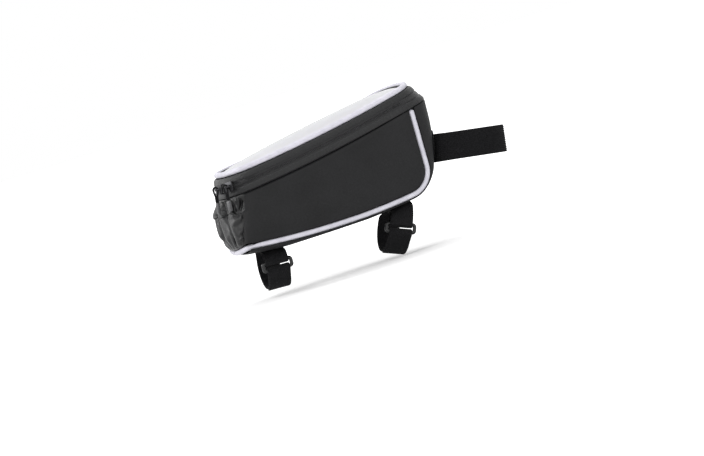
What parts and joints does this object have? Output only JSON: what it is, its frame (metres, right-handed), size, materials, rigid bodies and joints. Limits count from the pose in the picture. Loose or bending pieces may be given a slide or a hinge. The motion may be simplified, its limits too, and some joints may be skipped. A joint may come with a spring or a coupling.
{
  "type": "frame phone bag",
  "caption": "Zipped top tube bag for a bicycle with a clear phone window in its hinged lid, piped edges, tube straps and a steerer strap.",
  "frame": {"origin": "middle of the flat land of the underside that rests on the top tube", "axes": "+X forward along the tube, +Z away from the tube, near side faces -Y"},
  "size_m": [0.2825, 0.0932, 0.15],
  "materials": {
    "cloth": "coated woven polyester",
    "foam": "matte foam",
    "board": "matte",
    "piping": "pale reflective cover",
    "zip": "satin",
    "binding": "woven",
    "window": "clear soft film, slightly frosted",
    "lining": "woven",
    "webbing": "woven",
    "hook_tape": "hook and loop",
    "buckle": "smooth",
    "slider": "dark plated",
    "pull_cord": "braided",
    "pull_tab": "satin"
  },
  "bodies": {
    "bag": {"base_board": "board", "bottom_panel": "cloth", "front_panel": "cloth", "rear_panel": "cloth", "side_panel_near": "cloth", "side_panel_far": "cloth", "side_pad_near": "foam", "side_pad_far": "foam", "piping_near": "piping", "piping_far": "piping", "lower_band": "cloth", "zip_coil_lower": "zip", "lid_hinge_strip": "cloth", "rear_ring_tab": "webbing", "rear_strap_ring": "buckle", "rear_tube_strap": "hook_tape", "front_ring_tab": "webbing", "front_strap_ring": "buckle", "front_tube_strap": "hook_tape", "steerer_strap_patch": "webbing", "steerer_strap_near": "hook_tape", "steerer_strap_far": "hook_tape"},
    "lid": {"upper_band": "cloth", "zip_coil_upper": "zip", "lid_piping": "piping", "lid_rim": "binding", "lid_window": "window", "phone_pocket": "lining"},
    "slider_near": {"slider_near": "slider"},
    "slider_far": {"slider_far": "slider"},
    "pull_near": {"pull_cord_near": "pull_cord", "pull_tab_near": "pull_tab"},
    "pull_far": {"pull_cord_far": "pull_cord", "pull_tab_far": "pull_tab"}
  },
  "joints": [
    {"name": "lid_hinge", "type": "hinge", "parent": "bag", "child": "lid", "pos_m": [0.11639, 0, 0.09653], "axis": [0, 1, 0], "range_deg": [0, 100]},
    {"name": "slider_near_slide", "type": "slide", "parent": "bag", "child": "slider_near", "axis": [-0.4869, 0.8724, -0.0421], "range_m": [-0.0015, 0.0015]},
    {"name": "slider_far_slide", "type": "slide", "parent": "bag", "child": "slider_far", "axis": [-0.1667, 0.9859, -0.0138], "range_m": [-0.001, 0.008]},
    {"name": "pull_near_swing", "type": "hinge", "parent": "slider_near", "child": "pull_near", "pos_m": [-0.08158, -0.0341, 0.06687], "axis": [-0.4869, 0.8724, -0.0421], "range_deg": [0, 110]},
    {"name": "pull_far_swing", "type": "hinge", "parent": "slider_far", "child": "pull_far", "pos_m": [-0.08716, -0.01719, 0.06674], "axis": [-0.1667, 0.9859, -0.0138], "range_deg": [0, 110]}
  ]
}
